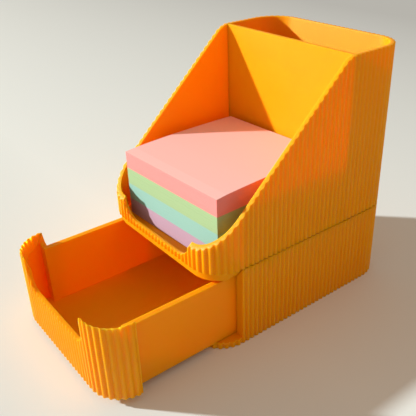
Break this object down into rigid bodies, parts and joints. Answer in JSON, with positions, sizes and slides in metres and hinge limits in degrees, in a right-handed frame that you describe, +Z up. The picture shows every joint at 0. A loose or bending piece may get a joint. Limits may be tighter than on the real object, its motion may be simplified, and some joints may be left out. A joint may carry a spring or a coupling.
{
  "type": "memo pad holder with drawer",
  "caption": "Fluted yellow desk organizer: notched drawer below, sloping memo pad bay above and an open pen compartment behind.",
  "frame": {"origin": "centre of the footprint on the table, under the housing", "axes": "+Z up; -Y towards the side the drawer pulls out of; +X to the right seen from that side"},
  "size_m": [0.0982, 0.1873, 0.135],
  "materials": {
    "shell_plastic": "matte",
    "paper_lilac": "matte",
    "paper_teal": "matte",
    "paper_green": "matte",
    "paper_pink": "matte"
  },
  "bodies": {
    "housing": {"drawer_housing": "shell_plastic"},
    "drawer_body": {"drawer": "shell_plastic"},
    "tray": {"upper_tray": "shell_plastic"},
    "pad_lilac": {"memo_pad_lilac": "paper_lilac"},
    "pad_teal": {"memo_pad_teal": "paper_teal"},
    "pad_green": {"memo_pad_green": "paper_green"},
    "pad_pink": {"memo_pad_pink": "paper_pink"}
  },
  "joints": [
    {"name": "drawer_slide", "type": "slide", "parent": "housing", "child": "drawer_body", "axis": [0, -1, 0], "range_m": [-0.0591, 0.03]},
    {"name": "tray_lift", "type": "slide", "parent": "housing", "child": "tray", "axis": [0, 0, 1], "range_m": [0, 0.04]},
    {"name": "lilac_lift", "type": "slide", "parent": "tray", "child": "pad_lilac", "axis": [0, 0, 1], "range_m": [0, 0.03]},
    {"name": "teal_lift", "type": "slide", "parent": "pad_lilac", "child": "pad_teal", "axis": [0, 0, 1], "range_m": [0, 0.03]},
    {"name": "green_lift", "type": "slide", "parent": "pad_teal", "child": "pad_green", "axis": [0, 0, 1], "range_m": [0, 0.03]},
    {"name": "pink_lift", "type": "slide", "parent": "pad_green", "child": "pad_pink", "axis": [0, 0, 1], "range_m": [0, 0.03]}
  ]
}
